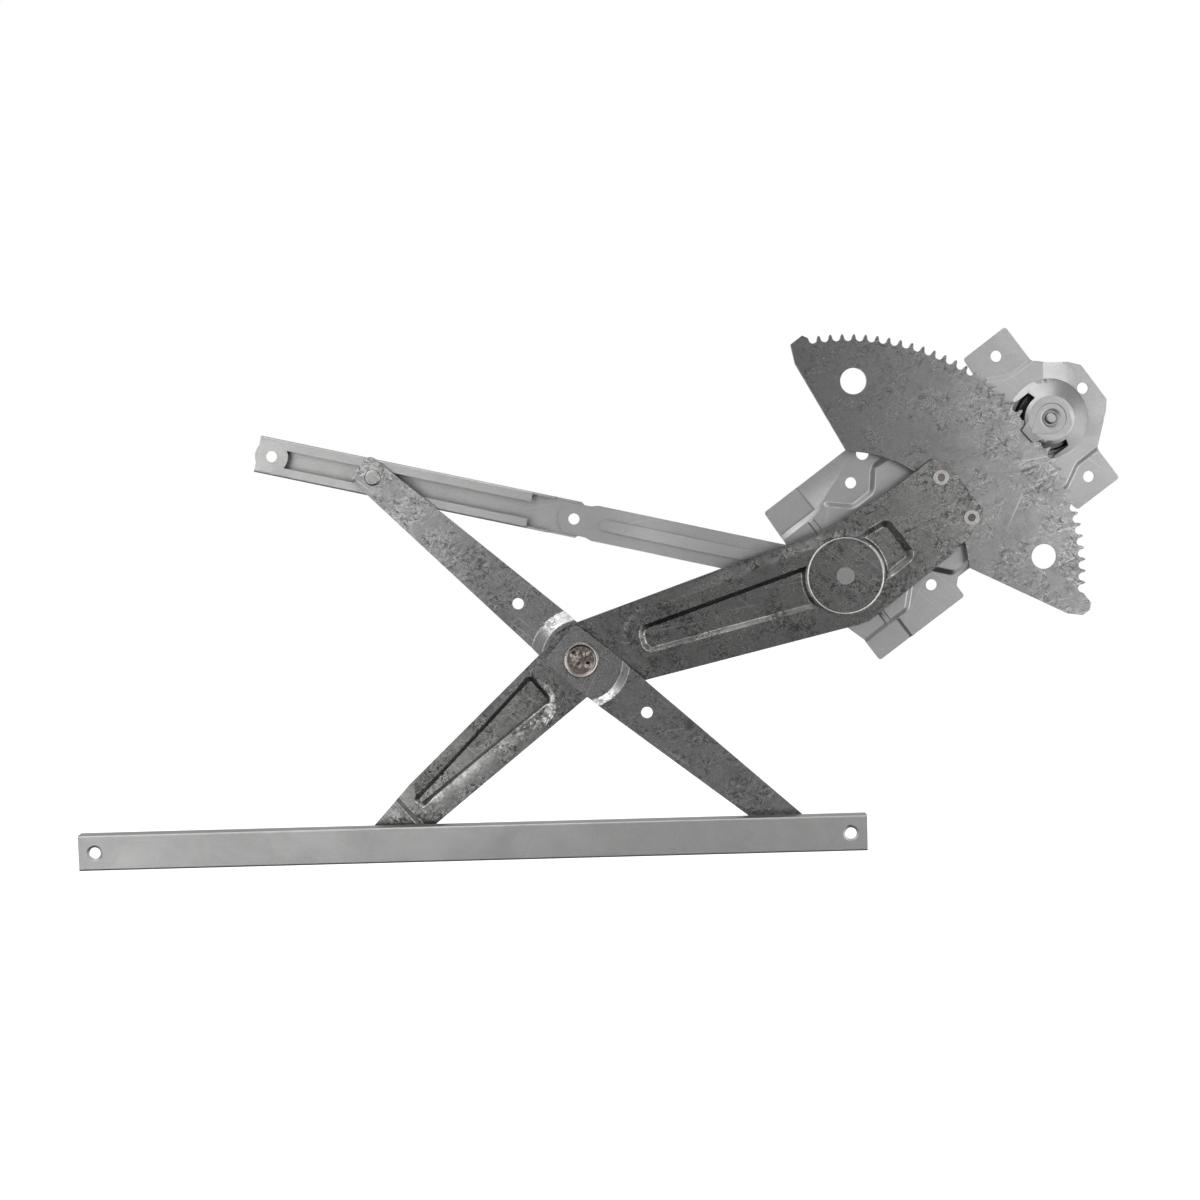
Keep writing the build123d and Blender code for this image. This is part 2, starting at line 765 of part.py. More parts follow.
def press_dome(die, side):
    rise = tongue_z - centre_z
    slope = degrees(atan2(rise, dome_foot_radius - dome_top_radius))
    spread = side_spread(side, slope)
    foot = dome_foot_radius + spread
    skirt = dome_pad_radius + side_spread(side, dome_skirt)
    upper = cone(foot, dome_top_radius + spread, centre_z + side, rise)
    lower = cone(skirt, foot, panel_z + side, centre_rise)
    return die + Pos(centre_distance, 0, 0) * (upper + lower)


def make_tongue():
    """Tongue of the dome's flat top, its tip bent down towards the sector."""
    plan = outline(
        [
            (0, -dome_top_radius), (-tongue_low_in, -tongue_low_half),
            (tongue_skew - tongue_reach, -tongue_tip_half), (-tongue_reach, tongue_tip_half),
            (-tongue_top_in, tongue_top_half), (0, dome_top_radius),
        ]
    )
    fall = tongue_dip / tongue_bend
    course = [(1, 0), (tongue_bend - tongue_reach, 0), (-tongue_reach - 5, -fall * (tongue_bend + 5))]
    low = [(x, tongue_z + z) for x, z in course]
    high = [(x, dome_top_z + z) for x, z in course]
    return side_prism(high + low[::-1], deep) & prism(plan, tongue_z - deep, dome_top_z + 1)


def make_base_plate():
    plate = pressed(
        plate_blank(),
        panel_z,
        plate_gauge,
        [press_corners, press_centre, press_nose, press_darts, press_dome],
    )
    slot_reach = centre_distance + slot_past
    slot = disc(slot_reach) & band(0, slot_reach + 5, -slot_half, slot_half)
    plate -= prism(slot - disc(slot_reach - slot_depth), centre_z + slot_foot, tongue_z)
    plate += Pos(centre_distance, 0, 0) * make_tongue()
    crown = hull(
        (0, 0, dome_top_radius), (tongue_bend - tongue_reach, 0, tongue_tip_half + 1.0), grow=-crown_rim
    )
    crown = Pos(centre_distance, 0) * crown
    plate -= sunk(crown, dome_top_z, crown_sink, press_angle)
    for place in plate_holes:
        plate -= rod(bolt_radius, panel_z - 2, centre_top + 1, place)
    plate -= rod(spare_hole_radius, panel_z - 2, centre_top, spare_hole)
    plate -= rod(pin_radius + bush_wall, panel_z, centre_top + 1)
    nose = (centre_distance, 0)
    plate -= rod(nose_radius + nose_clear, tongue_z - 1, dome_top_z + 1, nose)
    rim = nose_dish_radius
    low = dome_top_z - crown_sink - nose_dish
    plate -= cone(rim - step_width(nose_dish, 35), rim, low, nose_dish, nose)
    return plate_frame * plate


# Brake drum, closing the housing from behind
def make_brake_drum():
    low = drum_floor_z
    cup = rod(drum_radius, low, centre_z)
    flange = disc(drum_flange_radius) - band(nose_ridge_x - 1, 40, nose_ridge_y - 1, 40)
    flange += disc(drum_radius)
    cup += prism(flange, centre_z - drum_gauge, centre_z)
    cup -= rod(drum_radius - drum_gauge, low + drum_gauge, centre_z + 1)
    return cup - rod(bush_radius, low - 1, low + 3)


def make_spindle_bush():
    low = drum_floor_z
    bush = rod(bush_radius, low - 0.2, low + drum_gauge)
    bush += rod(bush_collar, low + drum_gauge, low + drum_gauge + 1.0)
    return bush - rod(spindle_radius + spindle_step + pin_clear, 0, centre_z)


def claw(sign):
    """Lug that turns the brake: it bears on a bent end of the spring."""
    ring = disc(pinion_disc_radius) - disc(claw_inner)
    reach = pinion_disc_radius + 3
    return ring & Pos(sign * reach / 2, 0) * Rectangle(reach, claw_width)


def make_crank_spindle():
    """Crank spindle: splined end, journal, and inside the drum a disc with its claw."""
    inner = spindle_radius + spindle_step
    shaft = rod(spindle_radius, -journal_length, 1.0)
    shaft += rod(inner, 1.0, brake_low)
    shaft += rod(crank_disc_radius, brake_low, brake_low + 1.4)
    shaft += prism(claw(1), brake_low, brake_high - 2.2)
    spline = disc(spline_radius)
    notch = outline([(0, -0.05), (spline_depth + 0.1, -0.55), (spline_depth + 0.1, 0.55), (0, 0.05)])
    for n in range(spline_teeth):
        spline -= Rot(0, 0, n * 360 / spline_teeth) * Pos(spline_radius - spline_depth) * notch
    end = -journal_length - spline_length
    shaft += prism(spline, end + 2.0, -journal_length)
    tip = rod(spline_radius - 1.0, end, end + 2.0)
    return shaft + chamfer(tip.edges().group_by(Axis.Z)[0], 0.8)


def make_brake_spring():
    """Wrap spring: turns that press on the drum, its two ends bent in beside the claws."""
    radius = drum_radius - drum_gauge - spring_clear - spring_wire / 2
    rise = spring_pitch * (spring_turns - spring_gap / 360)
    low = drum_floor_z + drum_gauge + 0.3 + spring_wire / 2
    path = Pos(0, 0, low) * Rot(0, 0, spring_gap / 2) * Helix(spring_pitch, rise, radius)
    section = Plane(origin=path @ 0, z_dir=path % 0) * Rectangle(spring_wire, spring_wire)
    spring = sweep(section, path=path, is_frenet=True)
    for height, side in ((low, 1), (low + rise, -1)):
        end = band(crank_disc_radius + 0.6, radius, -spring_wire / 2, spring_wire / 2)
        end = Rot(0, 0, side * spring_gap / 2) * end
        spring += prism(end, height - spring_wire / 2, height + spring_wire / 2)
    return spring


# Pinion
def pinion_outline():
    face = disc(pinion_root_radius)
    for n in range(pinion_teeth):
        head = disc(pinion_head_radius, (pinion_pitch_radius, 0))
        neck = band(pinion_root_radius - 2, pinion_pitch_radius, -pinion_neck / 2, pinion_neck / 2)
        turn = plate_turn + 180 + (n + 0.5) * 360 / pinion_teeth
        face += Rot(0, 0, turn) * (head + neck)
    return face


def make_pinion():
    low = sector_z - 0.6
    high = tongue_z - 0.9
    gear = prism(pinion_outline(), low, high)
    gear += rod(nose_radius, high, dome_top_z + 0.8)
    gear = chamfer(gear.edges().group_by(Axis.Z)[-1], 1.0)
    gear += rod(pin_disc_radius, brake_high, low)
    gear += prism(claw(-1), brake_low + 2.0, brake_high)
    return gear + rod(pinion_disc_radius, brake_high, brake_high + 1.2)


nodes = {
    "base_plate": make_base_plate,
    "guide_arm": make_guide_arm,
    "guide_channel": make_guide_channel,
    "pivot_bush": make_pivot_bush,
    "brake_drum": make_brake_drum,
    "spindle_bush": make_spindle_bush,
    "lift_arm": make_lift_arm,
    "sector_gear": make_sector,
    "sector_rivets": make_sector_rivets,
    "pivot_pin": make_pivot_pin,
    "pivot_washer": make_pivot_washer,
    "hub_bush": make_hub_bush,
    "lift_stud": lambda: Pos(*lift_end)
    * make_stud(arm_z + tip_joggle, arm_top + tip_joggle, lift_shoe_z + shoe_thickness - 1),
    "equalizer_rear": make_equalizer_rear,
    "equalizer_front": make_equalizer_front,
    "hub_rivet": make_hub_rivet,
    "channel_stud": lambda: Pos(*channel_end)
    * make_stud(front_z, front_z + half_gauge, lift_shoe_z + shoe_thickness - 1),
    "guide_stud": lambda: Pos(*guide_end)
    * make_stud(rear_z, rear_z + half_gauge, guide_shoe_top - shoe_thickness + 1),
    "crank_spindle": make_crank_spindle,
    "brake_spring": make_brake_spring,
    "pinion_gear": make_pinion,
    "lift_shoe": lambda: make_lift_shoe(lift_end),
    "channel_shoe": lambda: make_lift_shoe(channel_end),
    "guide_shoe": make_guide_shoe,
    "lift_channel": make_lift_channel,
}

os.makedirs("parts", exist_ok=True)
for name, make in nodes.items():
    export_step(stand(make()), f"parts/{name}.step")
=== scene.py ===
import json
from math import atan2, cos, exp, radians, sin

import bmesh
import bpy
from mathutils import Matrix, Vector
from mathutils.bvhtree import BVHTree
from mathutils.kdtree import KDTree


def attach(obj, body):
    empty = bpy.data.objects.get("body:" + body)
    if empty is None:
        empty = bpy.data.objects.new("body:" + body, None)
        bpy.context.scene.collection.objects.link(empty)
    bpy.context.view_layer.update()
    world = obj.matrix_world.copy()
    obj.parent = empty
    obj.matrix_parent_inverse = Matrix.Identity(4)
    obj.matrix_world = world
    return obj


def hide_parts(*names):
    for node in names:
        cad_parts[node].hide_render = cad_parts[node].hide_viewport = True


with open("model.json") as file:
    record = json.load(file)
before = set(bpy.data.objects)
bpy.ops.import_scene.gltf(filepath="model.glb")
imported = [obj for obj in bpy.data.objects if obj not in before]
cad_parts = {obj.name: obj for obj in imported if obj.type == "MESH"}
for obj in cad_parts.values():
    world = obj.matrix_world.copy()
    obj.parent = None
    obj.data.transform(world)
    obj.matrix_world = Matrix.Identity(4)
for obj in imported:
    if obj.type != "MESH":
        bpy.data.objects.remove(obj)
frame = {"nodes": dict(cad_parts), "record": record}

bl_info = {
    "name": "Window Regulator Finish",
    "version": (1, 0, 0),
    "blender": (4, 5, 0),
    "location": "View3D > Sidebar > Regulator",
    "description": "Edges, galvanised steel and studio for a scissor window regulator",
    "category": "Object",
}

MM = 0.001

# Degrees between two faces: below the first they are one smooth surface, above the second they
# meet in a cut edge of the sheet, and bends lie between. A bend's direction has a share of Y
# below the third, as one with more crosses the sheet's thickness.
LEAST_BEND = 18
MOST_BEND = 62
MOST_CROSS = 0.5

# Cleaning of the CAD triangles: points that are one, and degrees that count as flat.
SAME_POINT = 0.002 * MM
FLAT_ANGLE = 0.4

# The bends are rounded again, less those near a fault, while any face larger than a sliver lies
# further from the sheet than a share of the radius, or is turned away from it.
BEVEL_TRIES = 14
FAULT_REACH = 1.5 * MM
SLIVER = (0.1 * MM) ** 2
MOST_STRAY = 0.4
LEAST_FACING = 0.3

# The rolled rim round the pivot disc of the lift arm.
RIM_RADIUS = 21.4 * MM
RIM_SIDES = 12
RIM_STEPS = 96

# The worked front of the hub rivet. A share is a distance from its centre over its radius, a
# sink is a share of the dish's depth, and a pit is its X, Z, width and depth in mm.
FRONT_SLACK = 0.02 * MM
HEAD_DEPTH = 0.9 * MM
HEAD_STEPS = 22
# The outer rings of the worked front that take the painted highlight, a lighter zinc for the light
# on its rim.
PAINTED_HIGHLIGHT_STEPS = 2
BORDER_SHARE = 0.90
WALL_SHARE = 0.06
DISH_DEPTH = 0.60 * MM
BOSS_SHARE = 0.15
BOSS_SLOPE = 0.4
BOSS_SINK = 0.35
WAVE_SHARE = 0.84
WAVE_WIDTH = 2.2 * MM
WAVE_DEPTH = 0.06 * MM
PITS = ((-4.2, 3.2, 1.3, 1.1), (3.8, -2.8, 1.3, 1.1), (2.6, 3.8, 1.2, 0.5), (-1.4, -3.0, 1.2, 0.4))

STUDIO_MIDDLE = (-0.2, 0, 0)

BODY_OF = {
    node: body
    for body, nodes in frame["record"]["behaviour"]["bodies"].items()
    for node in nodes
}


class RegulatorSizes(bpy.types.PropertyGroup):
    sheet_edge: bpy.props.FloatProperty(
        name="Sheet edge", description="Rounding along the cut edges of the sheets",
        default=0.22 * MM, unit="LENGTH",
    )
    bend: bpy.props.FloatProperty(
        name="Bend", description="Rounding along the pressed bends of the sheets",
        default=0.5 * MM, unit="LENGTH",
    )
    rim: bpy.props.FloatProperty(
        name="Pivot rim", description="Thickness of the rolled rim round the pivot disc",
        default=1.1 * MM, unit="LENGTH",
    )
    pin_edge: bpy.props.FloatProperty(
        name="Pin edge", description="Rounding on pins, rivets and bushes",
        default=0.15 * MM, unit="LENGTH",
    )
    tooth_edge: bpy.props.FloatProperty(
        name="Tooth edge", description="Rounding along the sector and pinion teeth",
        default=0.12 * MM, unit="LENGTH",
    )
    spangle: bpy.props.FloatProperty(
        name="Spangle", description="Width of one zinc crystal",
        default=5.0 * MM, unit="LENGTH",
    )
    floor_drop: bpy.props.FloatProperty(
        name="Floor drop", description="Height of the crank spindle above the studio floor",
        default=0.62, unit="LENGTH",
    )


def colour(name, description, value):
    return bpy.props.FloatVectorProperty(
        name=name, description=description, default=value, subtype="COLOR", min=0, max=1,
    )


class RegulatorColours(bpy.types.PropertyGroup):
    sector: colour("Sector", "Mid tone of the toothed sector", (0.122, 0.122, 0.121))
    arm: colour("Lift arm", "Mid tone of the lift arm", (0.106, 0.105, 0.103))
    equalizer: colour("Equalizer", "Mid tone of the equalizer arm", (0.125, 0.125, 0.124))
    plate: colour("Plate", "Satin plating of the base plate", (0.160, 0.160, 0.159))
    rail: colour("Rail", "Satin plating of the two rails", (0.175, 0.174, 0.172))
    rivet: colour("Rivet", "Browned rivet centres", (0.068, 0.060, 0.054))
    # This tone is a painted highlight: a lighter zinc that stands in for the light caught by the
    # rolled rim of the pivot disc and by the rims of the rivets.
    worn: colour("Worn", "Rubbed edges of the arms", (0.215, 0.212, 0.206))
    gear: colour("Gear", "Dark hardened steel", (0.045, 0.045, 0.045))
    nylon: colour("Nylon", "Moulded shoes", (0.020, 0.020, 0.021))
    bronze: colour("Bronze", "Bearing metal", (0.300, 0.220, 0.110))


def sizes():
    return bpy.context.scene.regulator_sizes


def colours():
    return bpy.context.scene.regulator_colours


class Graph:
    """Shorthand for building a node tree."""

    def __init__(self, tree):
        self.tree = tree
        self.column = 0

    def add(self, kind, settings=None, **inputs):
        node = self.tree.nodes.new(kind)
        self.column += 1
        node.location = (self.column * 190, (self.column % 4) * -160)
        for key, value in (settings or {}).items():
            setattr(node, key, value)
        for key, value in inputs.items():
            self.feed(node, key, value)
        return node

    def feed(self, node, key, value):
        socket = node.inputs[int(key)] if key.isdigit() else node.inputs[key]
        if isinstance(value, bpy.types.NodeSocket):
            self.tree.links.new(value, socket)
        else:
            socket.default_value = value

    def math(self, operation, first, second, clamp=False):
        node = self.add("ShaderNodeMath", {"operation": operation, "use_clamp": clamp})
        self.feed(node, "0", first)
        self.feed(node, "1", second)
        return node.outputs[0]

    def span(self, value, low, high, to_low=0.0, to_high=1.0):
        """A smooth step from one number to another over a span of the value."""
        node = self.add("ShaderNodeMapRange", {"interpolation_type": "SMOOTHSTEP", "clamp": True})
        self.feed(node, "0", value)
        for index, number in enumerate((low, high, to_low, to_high), 1):
            self.feed(node, str(index), number)
        return node.outputs[0]

    def mix(self, factor, first, second):
        """A colour between two others; sockets 6 and 7 of the node are its colours."""
        node = self.add("ShaderNodeMix", {"data_type": "RGBA"})
        self.feed(node, "0", factor)
        self.feed(node, "6", first)
        self.feed(node, "7", second)
        return node.outputs[2]

    def noise(self, place, scale, detail=3.0, roughness=0.55, distortion=0.0):
        node = self.add("ShaderNodeTexNoise")
        self.feed(node, "Vector", place)
        self.feed(node, "Scale", scale)
        self.feed(node, "Detail", detail)
        self.feed(node, "Roughness", roughness)
        self.feed(node, "Distortion", distortion)
        return node

    def moved(self, place, shift):
        """Coordinates shifted in metres, so that two sheets don't share a pattern."""
        node = self.add("ShaderNodeMapping")
        self.feed(node, "Vector", place)
        node.inputs["Location"].default_value = shift
        return node.outputs[0]

    def drawn_out(self, place, turn, stretch, shift=0.0):
        """Coordinates turned in the sheet's plane, the pattern drawn out along their Z."""
        node = self.add("ShaderNodeMapping", {"vector_type": "TEXTURE"})
        self.feed(node, "Vector", place)
        node.inputs["Rotation"].default_value = (0, radians(turn), 0)
        node.inputs["Scale"].default_value = (1, 1, stretch)
        node.inputs["Location"].default_value = (shift, 0, shift)
        return node.outputs[0]


def new_group(name, inputs, outputs):
    """A shader node group with its sockets; an input is a name, a kind and a default."""
    group = bpy.data.node_groups.new(name, "ShaderNodeTree")
    for label, kind, default in inputs:
        socket = group.interface.new_socket(label, in_out="INPUT", socket_type=kind)
        if default is not None:
            socket.default_value = default
    for label, kind in outputs:
        group.interface.new_socket(label, in_out="OUTPUT", socket_type=kind)
    graph = Graph(group)
    start = group.nodes.new("NodeGroupInput").outputs
    end = group.nodes.new("NodeGroupOutput").inputs
    return group, graph, start, end


def spangle_group():
    """Zinc crystals: broad facets, needles lying in four directions, blots and clouds."""
    group, graph, start, end = new_group(
        "Zinc Spangle",
        [
            ("Place", "NodeSocketVector", None), ("Size", "NodeSocketFloat", 0.005),
            ("Facets", "NodeSocketFloat", 0.5), ("Needles", "NodeSocketFloat", 0.5),
            ("Blots", "NodeSocketFloat", 0.5), ("Clouds", "NodeSocketFloat", 0.5),
        ],
        [("Tone", "NodeSocketFloat"), ("Grain", "NodeSocketFloat")],
    )
    density = graph.math("DIVIDE", 1.0, start["Size"])
    cells = graph.add("ShaderNodeTexVoronoi")
    graph.feed(cells, "Vector", start["Place"])
    graph.feed(cells, "Scale", density)
    facet = graph.add("ShaderNodeSeparateColor", Color=cells.outputs["Color"]).outputs[0]
    facet = graph.math("SUBTRACT", facet, 0.5)
    needles = None
    # each set of needles: its turn in degrees, its fineness and its length over its width
    for turn, fine, thin in ((22, 8.0, 6.0), (-38, 9.5, 5.0), (69, 7.0, 7.0), (-78, 10.5, 5.5)):
        crystal = graph.add("ShaderNodeTexVoronoi")
        graph.feed(crystal, "Vector", graph.drawn_out(start["Place"], turn, thin, 0.01 * fine))
        graph.feed(crystal, "Scale", graph.math("MULTIPLY", density, fine))
        parts = graph.add("ShaderNodeSeparateColor", Color=crystal.outputs["Color"]).outputs
        there = graph.span(parts[0], 0.80, 0.81)
        needle = graph.math("MULTIPLY", there, graph.math("SUBTRACT", parts[1], 0.50))
        needles = needle if needles is None else graph.math("ADD", needles, needle)
    patch = graph.noise(start["Place"], graph.math("MULTIPLY", density, 0.4), 3.0)
    patch = graph.span(patch.outputs["Fac"], 0.40, 0.60, 0.3, 1.3)
    needles = graph.math("MULTIPLY", needles, patch)
    blots = graph.noise(start["Place"], graph.math("MULTIPLY", density, 2.2), 3.0, 0.7, 0.5)
    blot = graph.math("SUBTRACT", graph.span(blots.outputs["Fac"], 0.40, 0.60), 0.5)
    blot = graph.math("MULTIPLY", blot, patch)
    clouds = graph.noise(start["Place"], graph.math("MULTIPLY", density, 0.16), 4.0, 0.6)
    cloud = graph.math("SUBTRACT", clouds.outputs["Fac"], 0.5)
    total = graph.math("MULTIPLY", facet, start["Facets"])
    for layer, amount in ((needles, "Needles"), (blot, "Blots"), (cloud, "Clouds")):
        total = graph.math("ADD", total, graph.math("MULTIPLY", layer, start[amount]))
    graph.tree.links.new(graph.math("ADD", total, 0.5, clamp=True), end["Tone"])
    grain = graph.math("ADD", facet, graph.math("MULTIPLY", needles, 0.15))
    graph.tree.links.new(grain, end["Grain"])
    return group


def scratch_group():
    """Handling marks: long thin scratches in three directions and small scuffs."""
    group, graph, start, end = new_group(
        "Handling Marks",
        [("Place", "NodeSocketVector", None), ("Amount", "NodeSocketFloat", 0.5)],
        [("Marks", "NodeSocketFloat")],
    )
    marks = None
    # each direction: its turn in degrees, and a shift that sets its pattern apart
    for turn, shift in ((24, 0.1), (-52, 0.7), (81, 1.3)):
        along = graph.drawn_out(start["Place"], turn, 55.0, shift)
        line = graph.noise(along, 900.0, 0.0, 0.5).outputs["Fac"]
        where = graph.noise(start["Place"], 22.0 + 9 * shift, 1.0).outputs["Fac"]
        line = graph.math("MULTIPLY", graph.span(line, 0.745, 0.80), graph.span(where, 0.50, 0.60))
        marks = line if marks is None else graph.math("MAXIMUM", marks, line)
    scuffs = graph.noise(start["Place"], 420.0, 4.0, 0.7).outputs["Fac"]
    scuffs = graph.math("MULTIPLY", graph.span(scuffs, 0.64, 0.72), 0.6)
    marks = graph.math("MAXIMUM", marks, scuffs)
    marks = graph.math("MULTIPLY", marks, start["Amount"], clamp=True)
    graph.tree.links.new(marks, end["Marks"])
    return group


def plating_group():
    """Satin plating: soft stains, fine grit and small dark specks."""
    group, graph, start, end = new_group(
        "Satin Plating",
        [
            ("Place", "NodeSocketVector", None), ("Stains", "NodeSocketFloat", 0.5),
            ("Grit", "NodeSocketFloat", 0.5),
        ],
        [("Tone", "NodeSocketFloat"), ("Grain", "NodeSocketFloat")],
    )
    stains = graph.noise(start["Place"], 30.0, 5.0, 0.62, 0.6).outputs["Fac"]
    grit = graph.noise(start["Place"], 1500.0, 2.0, 0.6).outputs["Fac"]
    specks = graph.noise(start["Place"], 560.0, 2.0, 0.5).outputs["Fac"]
    specks = graph.span(specks, 0.70, 0.76)
    total = graph.math("MULTIPLY", graph.math("SUBTRACT", stains, 0.5), start["Stains"])
    fine = graph.math("MULTIPLY", graph.math("SUBTRACT", grit, 0.5), start["Grit"])
    total = graph.math("ADD", total, fine)
    total = graph.math("SUBTRACT", total, graph.math("MULTIPLY", specks, 0.22))
    graph.tree.links.new(graph.math("ADD", total, 0.5, clamp=True), end["Tone"])
    graph.tree.links.new(grit, end["Grain"])
    return group


def group_node(graph, name, **inputs):
    node = graph.add("ShaderNodeGroup", {"node_tree": bpy.data.node_groups[name]})
    for key, value in inputs.items():
        graph.feed(node, key, value)
    return node


def shaded(name):
    """A material with its own shader, and the graph and coordinates to build on."""
    material = bpy.data.materials.new(name)
    material.use_nodes = True
    graph = Graph(material.node_tree)
    shader = material.node_tree.nodes["Principled BSDF"]
    place = graph.add("ShaderNodeTexCoord").outputs["Object"]
    return material, graph, shader, place


def dimmed(tone, factor):
    return tuple(min(1.0, channel * factor) for channel in tone[:3]) + (1.0,)


def marked(graph, base, tone, place, marks, gain):
    """A base colour with handling marks, which are lighter than the tone by a gain."""
    handling = group_node(graph, "Handling Marks", Place=place, Amount=marks)
    return graph.mix(handling.outputs["Marks"], base, dimmed(tone, gain))


def roughened(graph, shader, tone, low, high):
    """Roughness that follows the tone of a pattern."""
    graph.feed(shader, "Roughness", graph.span(tone, 0.1, 0.9, low, high))


def bumped(graph, shader, grain, strength, distance):
    """Fine relief that follows the grain of a pattern, to a depth in mm."""
    bump = graph.add("ShaderNodeBump")
    graph.feed(bump, "Height", grain)
    graph.feed(bump, "Strength", strength)
    graph.feed(bump, "Distance", distance * MM)
    graph.feed(shader, "Normal", bump.outputs[0])


def zinc(name, tone, shift, needles, facets=0.12, blots=0.2, clouds=0.7, low=0.4, high=1.6,
         roughness=0.30, marks=0.4):
    """Hot-dip galvanised sheet; low and high are its darkest and lightest over its tone."""
    material, graph, shader, place = shaded(name)
    place = graph.moved(place, shift)
    spangle = group_node(
        graph, "Zinc Spangle", Place=place, Size=sizes().spangle, Facets=facets,
        Needles=needles, Blots=blots, Clouds=clouds,
    )
    base = graph.mix(spangle.outputs["Tone"], dimmed(tone, low), dimmed(tone, high))
    graph.feed(shader, "Base Color", marked(graph, base, tone, place, marks, 2.0))
    roughened(graph, shader, spangle.outputs["Tone"], roughness + 0.04, roughness - 0.04)
    graph.feed(shader, "Metallic", 1.0)
    bumped(graph, shader, spangle.outputs["Grain"], 0.025, 0.3)
    return material


def plated(name, tone, shift, stains=0.5, grit=0.5, roughness=0.44, marks=0.2):
    """Satin plated sheet."""
    material, graph, shader, place = shaded(name)
    place = graph.moved(place, shift)
    plating = group_node(graph, "Satin Plating", Place=place, Stains=stains, Grit=grit)
    base = graph.mix(plating.outputs["Tone"], dimmed(tone, 0.62), dimmed(tone, 1.38))
    graph.feed(shader, "Base Color", marked(graph, base, tone, place, marks, 1.6))
    roughened(graph, shader, plating.outputs["Tone"], roughness + 0.06, roughness - 0.06)
    graph.feed(shader, "Metallic", 1.0)
    bumped(graph, shader, plating.outputs["Grain"], 0.12, 0.1)
    return material


def turned_metal(name, tone, roughness=0.38, marks=0.3):
    """Turned or staked metal of pins, rivets, bushes and gears."""
    material, graph, shader, place = shaded(name)
    plating = group_node(graph, "Satin Plating", Place=place, Stains=0.9, Grit=0.8)
    base = graph.mix(plating.outputs["Tone"], dimmed(tone, 0.5), dimmed(tone, 1.6))
    graph.feed(shader, "Base Color", marked(graph, base, tone, place, marks, 2.2))
    roughened(graph, shader, plating.outputs["Tone"], roughness + 0.10, roughness - 0.08)
    graph.feed(shader, "Metallic", 1.0)
    return material


def moulded(name, tone):
    """Matt nylon of the sliding shoes."""
    material, graph, shader, place = shaded(name)
    plating = group_node(graph, "Satin Plating", Place=place, Stains=0.5, Grit=1.0)
    base = graph.mix(plating.outputs["Tone"], dimmed(tone, 0.7), dimmed(tone, 1.5))
    graph.feed(shader, "Base Color", base)
    roughened(graph, shader, plating.outputs["Tone"], 0.62, 0.48)
    bumped(graph, shader, plating.outputs["Grain"], 0.15, 0.1)
    return material


def folds(shape):
    """Edges of the pressed bends, leaving out those that cross the sheet's thickness."""
    found = []
    for edge in shape.edges:
        if len(edge.link_faces) != 2:
            continue
        angle = edge.calc_face_angle(0.0)
        along = (edge.verts[1].co - edge.verts[0].co).normalized()
        if radians(LEAST_BEND) < angle < radians(MOST_BEND) and abs(along.y) < MOST_CROSS:
            found.append(edge)
    return found


def merged(mesh):
    """The mesh with its flat triangles joined, and a search tree of its first surface."""
    shape = bmesh.new()
    shape.from_mesh(mesh)
    bmesh.ops.remove_doubles(shape, verts=shape.verts, dist=SAME_POINT)
    surface = BVHTree.FromBMesh(shape)
    bmesh.ops.dissolve_limit(
        shape, angle_limit=radians(FLAT_ANGLE), verts=shape.verts, edges=shape.edges
    )
    return shape, surface


def strayed(shape, surface, slack):
    """Corners of the faces that have left the first surface or turned over."""
    copy = shape.copy()
    bmesh.ops.triangulate(copy, faces=copy.faces)
    corners = []
    for face in copy.faces:
        if face.calc_area() < SLIVER:
            continue
        _, normal, _, distance = surface.find_nearest(face.calc_center_median())
        if distance > slack or face.normal.dot(normal) < LEAST_FACING:
            corners += [vert.co.copy() for vert in face.verts]
    copy.free()
    return corners


def clear_of(edges, corners, reach):
    """The edges that keep their distance from all the corners."""
    tree = KDTree(len(corners))
    for index, corner in enumerate(corners):
        tree.insert(corner, index)
    tree.balance()
    kept = []
    for edge in edges:
        first, last = (vert.co for vert in edge.verts)
        steps = max(2, int((last - first).length / reach) + 1)
        if all(tree.find(first.lerp(last, k / steps))[2] > reach for k in range(steps + 1)):
            kept.append(edge)
    return kept


def with_bends(mesh, radius):
    """The mesh with its bends rounded, but left sharp where they crowd each other."""
    crowded = []
    for _ in range(BEVEL_TRIES):
        shape, surface = merged(mesh)
        chosen = folds(shape)
        if crowded:
            chosen = clear_of(chosen, crowded, FAULT_REACH)
        bmesh.ops.bevel(
            shape, geom=chosen, offset=radius, offset_type="OFFSET", segments=3, profile=0.5,
            affect="EDGES", material=-1, clamp_overlap=False,
        )
        faults = strayed(shape, surface, MOST_STRAY * radius)
        if not faults:
            return shape
        crowded += faults
        shape.free()
    return merged(mesh)[0]


def softened(node, edge, bend):
    """A copy of a CAD node with its triangles merged, its bends and its cut edges rounded."""
    mesh = frame["nodes"][node].data.copy()
    mesh.name = f"{node}_finished"
    piece = bpy.data.objects.new(f"{node}_finished", mesh)
    bpy.context.scene.collection.objects.link(piece)
    shape = with_bends(mesh, bend) if bend else merged(mesh)[0]
    cut = [side for side in shape.edges if side.calc_face_angle(0.0) > radians(MOST_BEND)]
    bmesh.ops.bevel(
        shape, geom=cut, offset=edge, offset_type="OFFSET", segments=2, profile=0.5,
        affect="EDGES", material=-1, clamp_overlap=True,
    )
    for face in shape.faces:
        face.smooth = True
    shape.to_mesh(mesh)
    shape.free()
    mesh.set_sharp_from_angle(angle=radians(LEAST_BEND))
    weighted = piece.modifiers.new("Flat faces", "WEIGHTED_NORMAL")
    weighted.keep_sharp = True
    return piece


def finish_node(node, material, edge, bend=0.0):
    """Rounds a node's edges, gives it its metal and puts it in the node's place."""
    piece = softened(node, edge, bend)
    piece.data.materials.clear()
    piece.data.materials.append(bpy.data.materials[material])
    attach(piece, BODY_OF[node])
    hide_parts(node)
    return piece


def spread(places):
    """Least and greatest X and Z of some places."""
    return [(min(p[axis] for p in places), max(p[axis] for p in places)) for axis in (0, 2)]


